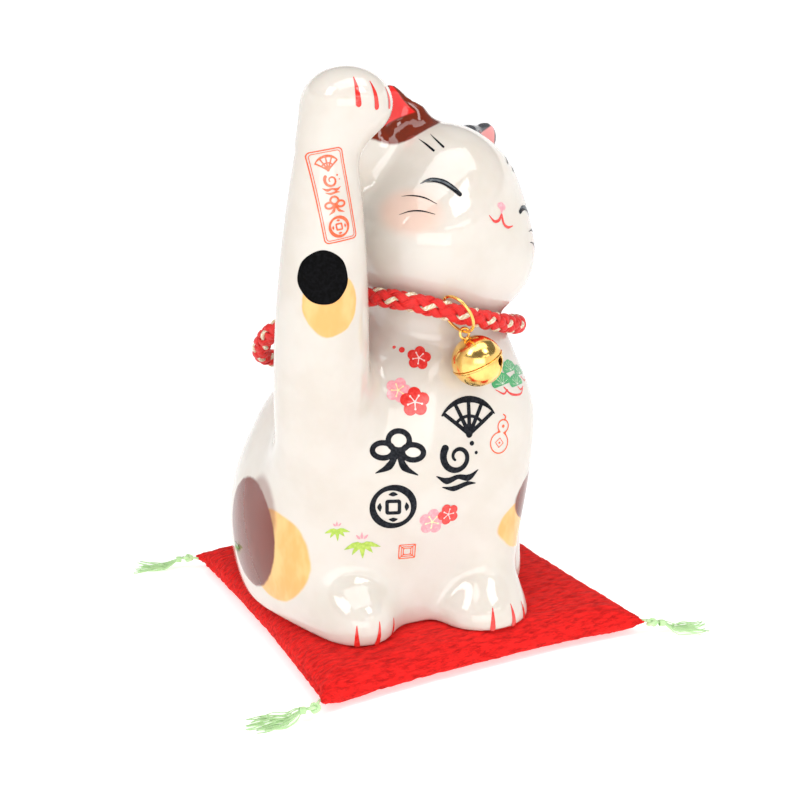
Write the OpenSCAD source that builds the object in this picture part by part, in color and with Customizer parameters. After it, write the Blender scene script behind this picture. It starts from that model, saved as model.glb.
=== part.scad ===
// Beckoning cat figurine on a square crepe cushion.
// Millimetres, +Z up, origin at the centre of the cushion's underside, the cat faces -Y.

/* [Figure] */
// Height of the surface the figure stands on
base_z = 9; // [8:0.5:11]
// Thickness of the slip-cast wall
wall = 4; // [3:0.5:5]
// Radius of the drain hole in the figure's base
drain_r = 6; // [4:0.5:7]

/* [Collar] */
// Radius of the braided cord
cord_r = 2.8; // [2:0.1:3]
// Length of the thread whipping that closes the cord
whip_len = 8; // [6:1:12]
// Radius of the jump ring, to the middle of its wire
ring_r = 5.7; // [5:0.1:6]
// Radius of the ring's wire
ring_wire = 0.45; // [0.4:0.05:0.6]

/* [Bell] */
// Outside radius of the bell
bell_r = 7.3; // [6:0.1:8]
// Thickness of the bell's sheet
bell_sheet = 0.5; // [0.3:0.05:0.7]
// Width of the sound slot
slot_w = 1; // [0.6:0.1:1.6]
// Radius of the pellet inside
pellet_r = 1.8; // [1:0.1:2.5]

/* [Cushion] */
// Side of the square cushion
cushion_w = 110; // [100:1:130]
// Thickness of the cloth
cloth = 0.8; // [0.4:0.1:1.2]
// Length of a corner tassel
tassel_len = 19; // [12:1:24]
// Radius of a tassel's knot
knot_r = 2.2; // [1.6:0.1:2.8]
// Radius of a tassel's open end
skirt_r = 3.2; // [2.4:0.1:4]

/* [Hidden] */
gap = 0.1;
step = 4.5;  // side of a cell of the grid that the figure's surface is traced on

glaze = [0.94, 0.92, 0.88];
red = [0.8, 0.05, 0.06];
gold = [0.85, 0.63, 0.25];
green = [0.6, 0.85, 0.5];

// ---- soft solids: each function is the distance from a point to a surface, below 0 inside ----

function blend(a, b, k) = let(h = max(k - abs(a - b), 0)/k) min(a, b) - h*h*k/4;

// Ellipsoid of half-sizes r at c.
function blob(p, c, r) =
    let(q = p - c, a = [q.x/r.x, q.y/r.y, q.z/r.z], b = [a.x/r.x, a.y/r.y, a.z/r.z], m = norm(b))
    m == 0 ? -min(r) : norm(a)*(norm(a) - 1)/m;

// Rod from a to b whose radius goes from ra to rb.
function rod(p, a, b, ra, rb) =
    let(t = max(0, min(1, (p - a)*(b - a)/((b - a)*(b - a))))) norm(p - a - t*(b - a)) - ra - t*(rb - ra);

function turned(v, yaw, roll, pitch) =
    let(a = [v.x, v.y*cos(pitch) - v.z*sin(pitch), v.y*sin(pitch) + v.z*cos(pitch)],
        b = [a.x*cos(roll) + a.z*sin(roll), a.y, a.z*cos(roll) - a.x*sin(roll)])
    [b.x*cos(yaw) - b.y*sin(yaw), b.x*sin(yaw) + b.y*cos(yaw), b.z];

function curve(t, v) = (1 - t)*(1 - t)*v[0] + 2*t*(1 - t)*v[1] + t*t*v[2];

// The head is turned to the cat's left and tilted to that side.
head_at = [4, -8.5, 120.5];
ears_at = [1.5, -8.5, 118.5];
head_axes = [for (v = [[1, 0, 0], [0, 1, 0], [0, 0, 1]]) turned(v, 14, 17, -4.5)];
ear_flat = 0.55;
ear_tip = [20, 4.5, 36.5];

function head(p) =
    let(q = head_axes*(p - head_at),
        skull = blob(q, [0, 0, 1], [26.5, 28.5, 32]),
        cheek = blend(skull, blob(q, [-10.5, -2.5, -4.5], [17.5, 22, 14]), 12))
    blend(cheek, blob(q, [10.5, -2.5, -4.5], [17.5, 22, 14]), 12);

function ears(p) =
    let(s = head_axes*(p - ears_at), q = [abs(s.x), s.y/ear_flat, s.z])
    blend(rod(q, [16, 7.5, 16], ear_tip, 15, 3.5), rod(q, [11.5, 0, 33], ear_tip, 5, 3.5), 4)*ear_flat;

function trunk(p) =
    let(belly = blend(blob(p, [-7.5, 4.5, 45], [42.5, 41, 41]), blob(p, [2.5, -7, 68.5], [31, 27, 39.5]), 18),
        right_haunch = blend(belly, blob(p, [-38.5, 5, 25.5], [15.5, 31.5, 28]), 12))
    blend(right_haunch, blob(p, [27, 12, 24], [17, 27, 24]), 12);

feet = [[[7.5, -36, 9.5], [14, 12.5, 11]],
        [[-31, -22.5, 13], [13.5, 19, 12.5]],
        [[-12, -20, 14], [16, 13.5, 18]],
        [[22, -10, 12], [12, 15, 10]],
        [[-6, 40, 20], [9, 9, 8]]];
function add_feet(p, d, i = 0) =
    i == len(feet) ? d : add_feet(p, blend(d, blob(p, feet[i][0], feet[i][1]), 8), i + 1);
function legs(p) = add_feet(p, rod(p, [14, -18, 64.5], [10, -28, 19.5], 17, 11.5));

arm_low = 40;
arm_long = 108;
function arm(p) =
    let(t = max(0, min(1, (p.z - arm_low)/arm_long)),
        c = curve(t, [[-33.5, -9.5, 0], [-41.5, -30, 0], [-39, -30.5, 0]]) + [0, 0, arm_low + arm_long*t])
    blend(norm(p - c) - curve(t, [11.5, 16.5, 8]), blob(p, [-33.5, -31.5, 159.5], [12, 11.5, 9.5]), 8);

// A shallow hollow between the raised arm and the cheek, where the cord passes.
function hollow(p) = 1.6*exp(-(p - [-24.5, -17, 105])*(p - [-24.5, -17, 105])/98);

function figure(p) =
    let(low = p.z > 125 ? 99 : blend(trunk(p), legs(p), 9),
        body = p.x > 0 ? low : blend(low, arm(p), 10),
        top = p.z < 75 ? 99 : p.z < 128 ? head(p) : blend(head(p), ears(p), 4))
    blend(body, top, 6) + hollow(p);

// ---- the same field turned into one closed skin, outside and inside, joined round the drain hole ----

grid_at = [-60.5, -54, base_z - 1.5*step];
grid_n = [for (d = [106, 108, 169]) ceil(d/step) + 1];
drain_cell = [13, 12];
function grid_point(c) = grid_at + step*c;
field = [for (i = [0:grid_n.x - 1]) [for (j = [0:grid_n.y - 1]) [for (k = [0:grid_n.z - 1])
    figure(grid_point([i, j, k]))]]];

axes = [[1, 0, 0], [0, 1, 0], [0, 0, 1]];
corners = [for (i = [0, 1], j = [0, 1], k = [0, 1]) [i, j, k]];
edges = [for (a = corners, d = axes) if (a*d == 0) [a, a + d]];

function level(c, inset, floor_z) = max(field[c.x][c.y][c.z] + inset, floor_z - grid_at.z - step*c.z);
function crossed(v) = min(v) < 0 && max(v) >= 0;
function mean(list) = [for (s = list) 1]*list/len(list);

function moved(p, inset, flat) =
    let(e = 0.3, d = figure(p) + inset,
        g = [for (a = axes) flat && a.z == 1 ? 0 : (figure(p + e*a) + inset - d)/e])
    p - g*d/max(0.2, g*g);
function settled(p, inset, flat) = moved(moved(p, inset, flat), inset, flat);

function cell_point(c, inset, floor_z) =
    let(hits = [for (e = edges) let(a = level(c + e[0], inset, floor_z), b = level(c + e[1], inset, floor_z))
            if ((a < 0) != (b < 0)) e[0] + (e[1] - e[0])*a/(a - b)],
        p = grid_point(c + mean(hits)),
        on_floor = c.z == floor((floor_z - grid_at.z)/step),
        rim = [for (k = [[0, 0], [1, 0], [0, 1], [1, 1]]) field[c.x + k.x][c.y + k.y][c.z + 1] + inset],
        s = [c.x - drain_cell.x + 0.5, c.y - drain_cell.y + 0.5])
    !on_floor ? settled(p, inset, false)
    : crossed(rim) ? settled([p.x, p.y, floor_z], inset, true)
    : max(abs(s.x), abs(s.y)) == 1.5 ? concat(grid_point(drain_cell) + s*drain_r/norm(s), [floor_z])
    : [p.x, p.y, floor_z];

// A skin is its cells, the table that numbers them, and its four-sided faces.
function skin_cells(inset, floor_z) =
    [for (i = [0:grid_n.x - 2], j = [0:grid_n.y - 2], k = [0:grid_n.z - 2])
        if (crossed([for (q = corners) level([i, j, k] + q, inset, floor_z)])) [i, j, k]];
function cell_key(c) = (c.x*grid_n.y + c.y)*grid_n.z + c.z;
function numbered(cells) =
    let(keys = [for (c = cells) cell_key(c)], count = len(keys), last = keys[count - 1])
    [for (key = 0, n = 0; key <= last; n = n + (n < count && keys[n] == key ? 1 : 0), key = key + 1) n];
function face_at(c, d, table) =
    let(u = [d.z, d.x, d.y], v = [d.y, d.z, d.x])
    [for (o = [[1, 1], [0, 1], [0, 0], [1, 0]]) table[cell_key(c - o[0]*u - o[1]*v)]];
function over_drain(c, d, floor_z) =
    d.z == 1 && abs(c.x - drain_cell.x) <= 1 && abs(c.y - drain_cell.y) <= 1
    && c.z == floor((floor_z - grid_at.z)/step);
function reversed(f) = [for (i = [len(f) - 1:-1:0]) f[i]];
function skin_faces(inset, floor_z, table) =
    [for (i = [1:grid_n.x - 2], j = [1:grid_n.y - 2], k = [0:grid_n.z - 2], d = axes)
        let(c = [i, j, k], a = level(c, inset, floor_z) < 0, b = level(c + d, inset, floor_z) < 0)
        if (a != b && !over_drain(c, d, floor_z)) a ? reversed(face_at(c, d, table)) : face_at(c, d, table)];

drain_ring = [[-2, -2], [-1, -2], [0, -2], [1, -2], [1, -1], [1, 0], [1, 1], [0, 1], [-1, 1], [-2, 1], [-2, 0],
    [-2, -1]];
function drain_faces(outer, inner, start) =
    [for (i = [0:11])
        let(a = drain_ring[i], b = drain_ring[(i + 1)%12], low = floor((base_z - grid_at.z)/step),
            high = floor((base_z + wall - grid_at.z)/step))
        [outer[cell_key([drain_cell.x + a.x, drain_cell.y + a.y, low])],
         outer[cell_key([drain_cell.x + b.x, drain_cell.y + b.y, low])],
         start + inner[cell_key([drain_cell.x + b.x, drain_cell.y + b.y, high])],
         start + inner[cell_key([drain_cell.x + a.x, drain_cell.y + a.y, high])]]];

module figure_shell() {
    floor_in = base_z + wall;
    cells = skin_cells(0, base_z);
    cells_in = skin_cells(wall, floor_in);
    table = numbered(cells);
    table_in = numbered(cells_in);
    points = concat([for (c = cells) cell_point(c, 0, base_z)], [for (c = cells_in) cell_point(c, wall, floor_in)]);
    faces_in = [for (f = skin_faces(wall, floor_in, table_in)) [for (i = reversed(f)) i + len(cells)]];
    color(glaze) polyhedron(points,
        concat(skin_faces(0, base_z, table), faces_in, drain_faces(table, table_in, len(cells))));
}

// ---- collar: a closed loop of round braid, slack at the cat's back ----

cord_path = [[-2, -37.3, 102.2], [8, -35, 99.3], [17.5, -29.8, 96.4], [25.8, -22.2, 93.8], [33, -8.5, 91],
    [32, 7, 87.5], [23.5, 21, 84], [8.5, 31.5, 80.5], [-10, 36, 77.5], [-27.5, 33.5, 77], [-38.5, 24, 82],
    [-40.5, 12, 90.5], [-35.5, 2, 96.5], [-28, -9, 101.5], [-23.2, -20, 106], [-17.8, -31, 106.6],
    [-10.5, -35.4, 105]];

// Smooth curve through the points; s counts them.
function on_cord(s) =
    let(n = len(cord_path), i = floor(s), t = s - i,
        a = cord_path[(i + n - 1)%n], b = cord_path[i%n], c = cord_path[(i + 1)%n], d = cord_path[(i + 2)%n])
    (2*b + (c - a)*t + (2*a - 5*b + 4*c - d)*t*t + (3*b - a - 3*c + d)*t*t*t)/2;
function cord_ring(s, r, sides) =
    let(along = on_cord(s + 0.05) - on_cord(s + len(cord_path) - 0.05), side = cross(along, [0, 0, 1]),
        u = side/norm(side), v = cross(u, along)/norm(along))
    [for (k = [0:sides - 1]) on_cord(s) + r*(cos(360*k/sides)*u + sin(360*k/sides)*v)];

module collar_cord() {
    n = 4*len(cord_path);
    sides = 10;
    color(red) polyhedron(
        [for (i = [0:n - 1]) each cord_ring(i/4, cord_r, sides)],
        [for (i = [0:n - 1], k = [0:sides - 1]) let(j = (i + 1)%n, m = (k + 1)%sides)
            [i*sides + m, j*sides + m, j*sides + k, i*sides + k]]);
}

module collar_whipping() {
    mid = 7.5;
    half = whip_len/2/norm(on_cord(8) - on_cord(7));
    rings = [for (s = [-1:0.5:1]) mid + s*half];
    n = len(rings);
    sides = 10;
    color(red) polyhedron(
        [for (r = [cord_r + 0.7, cord_r + 0.15], s = rings) each cord_ring(s, r, sides)],
        concat(
            [for (i = [0:n - 2], k = [0:sides - 1]) let(m = (k + 1)%sides)
                [i*sides + m, (i + 1)*sides + m, (i + 1)*sides + k, i*sides + k]],
            [for (i = [n:2*n - 2], k = [0:sides - 1]) let(m = (k + 1)%sides)
                [i*sides + k, (i + 1)*sides + k, (i + 1)*sides + m, i*sides + m]],
            [for (k = [0:sides - 1]) let(m = (k + 1)%sides) [n*sides + k, n*sides + m, m, k]],
            [for (k = [0:sides - 1]) let(m = (k + 1)%sides)
                [(2*n - 1)*sides + m, (2*n - 1)*sides + k, (n - 1)*sides + k, (n - 1)*sides + m]]));
}

// ---- ring and bell ----

ring_at = [-3.4, -37.9, 102.6];
ring_yaw = 194;
ring_lean = -24;
ring_low = ring_at - ring_r*[-sin(ring_lean)*cos(ring_yaw), -sin(ring_lean)*sin(ring_yaw), cos(ring_lean)];

loop_r = 1.5;
loop_wire = 0.4;
loop_at = bell_r + 1.6;
hang = loop_at + loop_r - loop_wire - ring_wire - gap;
bell_axis = [-0.4, 0.14, 0.91]/norm([-0.4, 0.14, 0.91]);
bell_at = ring_low - hang*bell_axis;
bell_front = [0.49, -0.82, 0.28];
hole_r = 1.3;
hole_z = -1.6;

// Puts local Z on the axis z, and local X as near x as it can be.
module aligned(at, z, x) {
    w = z/norm(z);
    v = cross(w, x)/norm(cross(w, x));
    u = cross(v, w);
    multmatrix([[u.x, v.x, w.x, at.x], [u.y, v.y, w.y, at.y], [u.z, v.z, w.z, at.z]]) children();
}

module wire_ring(r, wire) rotate_extrude($fn = 64) translate([r, 0]) circle(wire, $fn = 24);

module jump_ring()
    color(gold) translate(ring_at) rotate([0, 0, ring_yaw]) rotate([0, 90 - ring_lean, 0])
        wire_ring(ring_r, ring_wire);

module bell_loop()
    color(gold) aligned(bell_at, bell_axis, bell_front) difference() {
        translate([0, 0, loop_at]) rotate([0, 0, 63]) rotate([90, 0, 0]) wire_ring(loop_r, loop_wire);
        sphere(bell_r, $fn = 64);
    }

module half_shell(low, high) rotate_extrude($fn = 64) intersection() {
    difference() {
        circle(bell_r, $fn = 64);
        circle(bell_r - bell_sheet, $fn = 64);
    }
    translate([0, low]) square([2*bell_r, high - low]);
}

module bell_upper() color(gold) aligned(bell_at, bell_axis, bell_front) half_shell(0, bell_r);

module bell_lower()
    color(gold) aligned(bell_at, bell_axis, bell_front) difference() {
        union() {
            half_shell(-bell_r, 0);
            rotate_extrude($fn = 64) translate([bell_r - 0.1, -0.5]) square([0.35, 0.5]);
        }
        translate([-bell_r - 1, -slot_w/2, -bell_r - 1]) cube([2*bell_r + 2, slot_w, bell_r + 1 + hole_z]);
        translate([0, 0, hole_z]) rotate([0, 90, 0]) cylinder(h = 2*bell_r + 2, r = hole_r, center = true, $fn = 32);
    }

module bell_pellet()
    color(gold) translate(bell_at - [0, 0, bell_r - bell_sheet - pellet_r - gap]) sphere(pellet_r, $fn = 32);

// ---- cushion: two sewn cloth panels round a pad ----

seam_z = base_z/2;
spread = [0, 0.4, 0.7, 0.84, 0.91, 0.95, 0.98, 1];
row = concat([for (i = [7:-1:1]) -spread[i]], spread);
row_n = len(row);
function crown(t) = sqrt(max(0, 1 - pow(max(0, abs(t) - 0.7)/0.3, 3)));

// One side of the cushion as a sheet of points: its half-width, its height at the middle and at the edge.
function panel(half, mid, edge) =
    [for (u = row, v = row)
        [half*u - u*(1 - v*v), half*v - v*(1 - u*u), edge + (mid - edge)*crown(u)*crown(v)]];
// Each cell is cut along the diagonal that points at the nearest corner, so no triangle lies flat in the seam.
function sheet_faces(start, up) =
    [for (i = [0:row_n - 2], j = [0:row_n - 2])
        let(a = start + i*row_n + j, q = [a, a + 1, a + row_n + 1, a + row_n], mid = (row_n - 1)/2,
            f = (i < mid) == (j < mid) ? q : [q[1], q[2], q[3], q[0]])
        each [for (t = [[f[0], f[1], f[2]], [f[0], f[2], f[3]]]) up ? t : reversed(t)]];
border = concat([for (j = [0:row_n - 1]) j], [for (i = [1:row_n - 1]) i*row_n + row_n - 1],
    [for (j = [row_n - 2:-1:0]) (row_n - 1)*row_n + j], [for (i = [row_n - 2:-1:1]) i*row_n]);
function border_faces(upper, lower) =
    [for (i = [0:len(border) - 1])
        let(a = border[i], b = border[(i + 1)%len(border)]) [upper + b, upper + a, lower + a, lower + b]];

module pillow(half_top, half_low, mid_top, mid_low, edge_top, edge_low)
    polyhedron(concat(panel(half_top, mid_top, edge_top), panel(half_low, mid_low, edge_low)),
        concat(sheet_faces(0, true), sheet_faces(row_n*row_n, false), border_faces(0, row_n*row_n)));

half_w = cushion_w/2;
module cushion_top() color(red) pillow(half_w, half_w - cloth, base_z, base_z - cloth, seam_z, seam_z);
module cushion_bottom() color(red) pillow(half_w - cloth, half_w, cloth, 0, seam_z, seam_z);
module cushion_filling() {
    half = half_w - cloth - 1;
    color(glaze) pillow(half, half, base_z - cloth - gap, cloth + gap, seam_z + 0.4, seam_z - 0.4);
}

// A tassel: a knot against the corner, a waist, and a skirt of yarn that lies on the table.
module tassel(corner, heading)
    color(green)
        translate([corner.x*(half_w + knot_r), corner.y*(half_w + knot_r), skirt_r + 0.4])
        rotate([0, 90, heading]) rotate_extrude($fn = 32) polygon([
            [0, -knot_r], [0.8*knot_r, -0.7*knot_r], [knot_r, 0], [0.6*knot_r, knot_r], [0.9*knot_r, 1.5*knot_r],
            [0.8*skirt_r, 0.5*tassel_len], [skirt_r, tassel_len - 1], [0.7*skirt_r, tassel_len], [0, tassel_len]]);

module tassel_left() tassel([-1, 1], 160);
module tassel_front() tassel([-1, -1], 165);
module tassel_right() tassel([1, -1], -20);
module tassel_back() tassel([1, 1], 45);

figure_shell();
collar_cord();
collar_whipping();
jump_ring();
bell_loop();
bell_upper();
bell_lower();
bell_pellet();
cushion_top();
cushion_bottom();
cushion_filling();
tassel_left();
tassel_front();
tassel_right();
tassel_back();
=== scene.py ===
"""A glazed beckoning cat with a braided collar and a bell, seated on a small crepe cushion.

Lengths in the helper functions are millimetres, in the frame of the CAD model; meshes are made in metres.
"""
import math

import bpy
import numpy as np
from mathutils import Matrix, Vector


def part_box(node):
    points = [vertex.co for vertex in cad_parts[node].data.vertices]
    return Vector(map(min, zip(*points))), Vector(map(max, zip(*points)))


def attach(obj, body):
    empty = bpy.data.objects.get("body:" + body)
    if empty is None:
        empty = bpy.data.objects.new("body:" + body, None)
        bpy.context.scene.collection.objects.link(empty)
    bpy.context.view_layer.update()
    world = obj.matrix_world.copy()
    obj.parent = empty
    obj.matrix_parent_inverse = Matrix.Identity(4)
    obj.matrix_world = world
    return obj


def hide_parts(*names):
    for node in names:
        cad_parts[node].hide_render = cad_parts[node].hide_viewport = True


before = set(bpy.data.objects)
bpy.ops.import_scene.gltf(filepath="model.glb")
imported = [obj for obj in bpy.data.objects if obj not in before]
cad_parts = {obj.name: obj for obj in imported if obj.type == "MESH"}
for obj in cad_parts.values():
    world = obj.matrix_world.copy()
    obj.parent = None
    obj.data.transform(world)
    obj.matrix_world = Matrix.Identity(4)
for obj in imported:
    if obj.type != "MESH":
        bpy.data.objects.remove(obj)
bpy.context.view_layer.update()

camera = bpy.data.objects.new("camera", bpy.data.cameras.new("camera"))
camera.data.lens, camera.data.sensor_width = 54, 36
camera.location = (-0.1648, -0.3214, 0.1707)
camera.rotation_euler = (math.radians(74.11), 0, math.radians(-26.84))
bpy.context.scene.collection.objects.link(camera)
bpy.context.scene.camera = camera


# ---- the frame's places, in mm ----

def box_mm(node):
    low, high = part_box(node)
    return np.array(low)*1000, np.array(high)*1000


def centre_mm(node):
    low, high = box_mm(node)
    return (low + high)/2


BASE = box_mm("figure_shell")[0][2]
HALF = box_mm("cushion_top")[1][0]


# ---- mesh helpers ----

def add_mesh(name, points, faces, material, body, slot, normals=None, uv=None, replaces=()):
    mesh = bpy.data.meshes.new(name)
    mesh.from_pydata((np.asarray(points)*0.001).tolist(), [], [list(map(int, f)) for f in faces])
    mesh.update()
    mesh.shade_smooth()
    if uv is not None:
        layer = mesh.uv_layers.new(name="UVMap")
        corner = np.zeros(len(mesh.loops), int)
        mesh.loops.foreach_get("vertex_index", corner)
        layer.data.foreach_set("uv", np.asarray(uv, np.float32)[corner].ravel())
    if normals is not None:
        mesh.normals_split_custom_set_from_vertices(np.asarray(normals).tolist())
    mesh.materials.append(material)
    thing = bpy.data.objects.new(name, mesh)
    bpy.context.scene.collection.objects.link(thing)
    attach(thing, body)
    if replaces:
        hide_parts(*replaces)
    return thing


def grid_faces(rows, cols, close_rows=False, close_cols=True):
    i, j = np.meshgrid(np.arange(rows if close_rows else rows - 1),
                       np.arange(cols if close_cols else cols - 1), indexing="ij")
    i, j = i.ravel(), j.ravel()
    i1, j1 = (i + 1) % rows, (j + 1) % cols
    return np.stack([i*cols + j, i*cols + j1, i1*cols + j1, i1*cols + j], -1)


def joined(parts):
    """Several (points, faces, uv) as one."""
    first = np.cumsum([0] + [len(points) for points, _, _ in parts])
    faces = [[k + n for k in face]
             for n, (_, made, _) in zip(first, parts) for face in np.asarray(made, object)]
    return np.concatenate([part[0] for part in parts]), faces, np.concatenate([part[2] for part in parts])


def columns(*values):
    """Values side by side on a new last axis."""
    return np.stack(np.broadcast_arrays(*values), -1)


def mixed(*pairs):
    """The sum of amount*axis over (amount, axis) pairs."""
    return sum(np.asarray(amount)[..., None]*axis for amount, axis in pairs)


def unit(v):
    v = np.asarray(v, float)
    return v/np.maximum(np.linalg.norm(v, axis=-1, keepdims=True), 1e-12)


def ahead_on(loop):
    """The direction of a closed path at each of its points."""
    return unit(np.roll(loop, -1, 0) - np.roll(loop, 1, 0))


def run(path):
    """How far along the path each of its points is."""
    return np.concatenate([[0], np.cumsum(np.linalg.norm(np.diff(path, axis=0), axis=1))])


def sampled(at, places, rows):
    """Rows that stand at places along a path, read at other places."""
    return columns(*(np.interp(at, places, column) for column in rows.T))


def between(a, b, c, d, t):
    """The point a share t of the way from b to c, on the smooth curve through a, b, c and d."""
    return (2*b + (c - a)*t + (2*a - 5*b + 4*c - d)*t*t + (3*b - a - 3*c + d)*t**3)/2


def ease(a, b, x):
    """0 at a, 1 at b and smooth between them."""
    t = np.clip((x - a)/(b - a), 0, 1)
    return t*t*(3 - 2*t)


def tube(path, radius, sides=10, closed=False, up=(0.13, 0.21, 0.97)):
    """A round tube along path; radius may be a number or one for each point. Ends are capped."""
    path = np.asarray(path, float)
    n = len(path)
    along = ahead_on(path) if closed else unit(np.gradient(path, axis=0))
    side = unit(np.cross(along, np.asarray(up, float)))
    for k in range(1, n):
        side[k] = unit(side[k - 1] - along[k]*(side[k - 1] @ along[k]))
    other = np.cross(along, side)
    turn = np.zeros(n)
    if closed:
        last = unit(side[-1] - along[0]*(side[-1] @ along[0]))
        twist = math.atan2(last @ other[0], last @ side[0])
        turn = -twist*np.arange(n)/n
    a = np.arange(sides)*2*math.pi/sides
    r = np.broadcast_to(np.asarray(radius, float), (n,))
    angle = a + turn[:, None]
    ring = mixed((np.cos(angle), side[:, None]), (np.sin(angle), other[:, None]))
    points = path[:, None] + r[:, None, None]*ring
    faces = grid_faces(n, sides, close_rows=closed).tolist()
    if not closed:
        faces += [list(range(sides))[::-1], [(n - 1)*sides + k for k in range(sides)]]
    return points.reshape(-1, 3), faces, columns(run(path)[:, None], a).reshape(-1, 2)


def lattice_noise(points, seed):
    """Smooth noise from -1 to 1 at points, one lattice cell to a unit."""
    p = np.asarray(points, float)
    base = np.floor(p).astype(np.int64)
    t = p - base
    t = t*t*t*(t*(6*t - 15) + 10)
    total = 0
    for corner in np.ndindex(*(2,)*p.shape[-1]):
        h = np.full(p.shape[:-1], seed*7919 + 13, np.int64)
        weight = 1
        for k, c in enumerate(corner):
            h = (h*374761393 + (base[..., k] + c)*668265263) & 0x7FFFFFFF
            h = (h ^ (h >> 13))*1274126177 & 0x7FFFFFFF
            weight = weight*(t[..., k] if c else 1 - t[..., k])
        total = total + weight*((h ^ (h >> 16)) % 65536/32767.5 - 1)
    return total


# ---- the sculpted surface: each function is the distance from points to a surface, below 0 inside ----

def blend(a, b, k):
    h = np.maximum(k - np.abs(a - b), 0)/k
    return np.minimum(a, b) - h*h*k/4


def blob(p, centre, radii):
    q = p - np.array(centre, float)
    r = np.array(radii, float)
    a = np.sqrt(((q/r)**2).sum(-1))
    return a*(a - 1)/(np.sqrt(((q/r**2)**2).sum(-1)) + 1e-9)


def rod(p, a, b, ra, rb):
    a, b = np.array(a, float), np.array(b, float)
    t = np.clip(((p - a) @ (b - a))/((b - a) @ (b - a)), 0, 1)
    return np.sqrt(((p - a - t[..., None]*(b - a))**2).sum(-1)) - ra - t*(rb - ra)


def turned(yaw, roll, pitch):
    y, r, p = (math.radians(x) for x in (yaw, roll, pitch))
    about_z = np.array([[math.cos(y), -math.sin(y), 0], [math.sin(y), math.cos(y), 0], [0, 0, 1]])
    about_y = np.array([[math.cos(r), 0, math.sin(r)], [0, 1, 0], [-math.sin(r), 0, math.cos(r)]])
    about_x = np.array([[1, 0, 0], [0, math.cos(p), -math.sin(p)], [0, math.sin(p), math.cos(p)]])
    return about_z @ about_y @ about_x


HEAD_TURN = turned(14, 17, -4.5)
HEAD_AT = np.array([4, -8.5, 120.5])
EARS_AT = np.array([1.5, -8.5, 118.5])
EAR_TIP, EAR_DEPTH = (20, 4.5, 36.5), 0.55  # the ears are drawn round and pressed flat to this share


def head(p):
    q = (p - HEAD_AT) @ HEAD_TURN
    d = blob(q, (0, 0, 1), (26.5, 28.5, 32))
    for side in (-1, 1):
        d = blend(d, blob(q, (side*10.5, -2.5, -4.5), (17.5, 22, 14)), 12)
    return d


def ears(p):
    q = (p - EARS_AT) @ HEAD_TURN
    q = columns(np.abs(q[..., 0]), q[..., 1]/EAR_DEPTH, q[..., 2])
    d = blend(rod(q, (16, 7.5, 16), EAR_TIP, 15, 3.5), rod(q, (11.5, 0, 33), EAR_TIP, 5, 3.5), 4)*EAR_DEPTH
    dish = blob(q, (19.5, -5.5, 33), (5.5, 8, 7.5))*EAR_DEPTH
    return -blend(-d, dish, 2)


def torso(p):
    d = blend(blob(p, (-7.5, 4.5, 45), (42.5, 41, 41)), blob(p, (2.5, -7, 68.5), (31, 27, 39.5)), 18)
    d = blend(d, blob(p, (-38.5, 5, 25.5), (15.5, 31.5, 28)), 12)
    return blend(d, blob(p, (27, 12, 24), (17, 27, 24)), 12)


def legs(p):
    d = rod(p, (14, -18, 64.5), (10, -28, 19.5), 17, 11.5)
    for centre, radii in (((7.5, -36, 9.5), (14, 12.5, 11)), ((-31, -22.5, 13), (13.5, 19, 12.5)),
                          ((-12, -20, 14), (16, 13.5, 18)), ((22, -10, 12), (12, 15, 10)),
                          ((-6, 40, 20), (9, 9, 8))):
        d = blend(d, blob(p, centre, radii), 8)
    return d


def arm(p):
    t = np.clip((p[..., 2] - 40)/108, 0, 1)
    x, y, r = ((1 - t)**2*a + 2*t*(1 - t)*b + t*t*c
               for a, b, c in ((-33.5, -41.5, -39), (-9.5, -30, -30.5), (11.5, 16.5, 8)))
    d = np.sqrt((p[..., 0] - x)**2 + (p[..., 1] - y)**2 + (p[..., 2] - 40 - 108*t)**2) - r
    return blend(d, blob(p, (-33.5, -31.5, 159.5), (12, 11.5, 9.5)), 8)


def cat(p):
    d = blend(torso(p), legs(p), 9)
    d = blend(d, arm(p), 10)
    d = blend(d, blend(head(p), ears(p), 4), 6)
    return d + 1.6*np.exp(-((p - np.array([-24.5, -17, 105]))**2).sum(-1)/98)


def cat_on_base(p):
    return -blend(-cat(p), p[..., 2] - BASE, 1.2)


SMOOTH = 1.2  # mm each way over which the glaze's slope is taken, so that reflections run smoothly


def rise(f, p, e):
    return columns(*(f(p + d) - f(p - d) for d in np.eye(3)*e))


def slope(f, p, e=0.05):
    return unit(rise(f, p, e))


def settle(f, p, level=0.0, rounds=4, e=0.05):
    """Moves points along the slope of f to where f is level."""
    for _ in range(rounds):
        g = rise(f, p, e)/(2*e)
        p = p - g*((f(p) - level)/np.maximum((g*g).sum(-1), 0.2))[..., None]
    return p


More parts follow.
